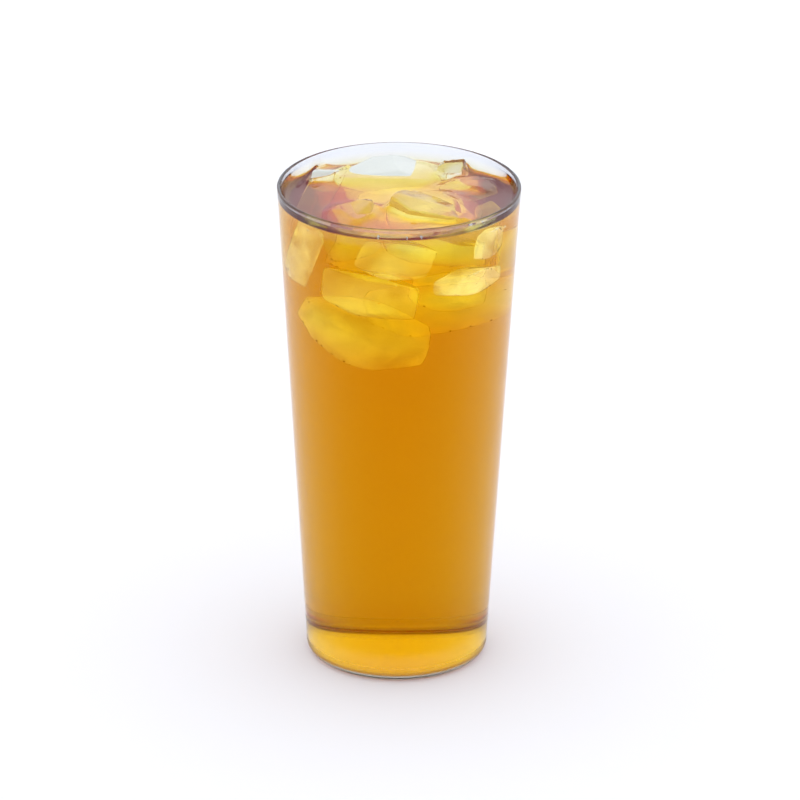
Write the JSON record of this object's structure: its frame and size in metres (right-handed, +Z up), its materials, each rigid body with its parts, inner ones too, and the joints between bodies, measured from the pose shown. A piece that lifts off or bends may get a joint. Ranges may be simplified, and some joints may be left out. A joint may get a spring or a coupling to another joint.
{
  "type": "glass of iced tea",
  "caption": "Tall tapered clear glass tumbler filled to just under the rim with amber tea, with chipped clear ice floating at the top.",
  "frame": {"origin": "centre of the glass's underside, on the surface it stands on", "axes": "+Z up along the glass's axis, -Y towards the drinker (front), +X to the right seen from the front"},
  "size_m": [0.074, 0.074, 0.1535],
  "materials": {
    "glass": "clear blown soda-lime glass, fire-polished rim",
    "tea": "clear amber liquid",
    "ice": "wet clear ice, slightly cloudy inside"
  },
  "bodies": {
    "root": {"glass": "glass", "tea": "tea", "ice_back_slab": "ice", "ice_left_slab": "ice", "ice_front_block": "ice", "ice_small_block": "ice", "ice_right_slab": "ice", "ice_shard": "ice"}
  },
  "joints": []
}
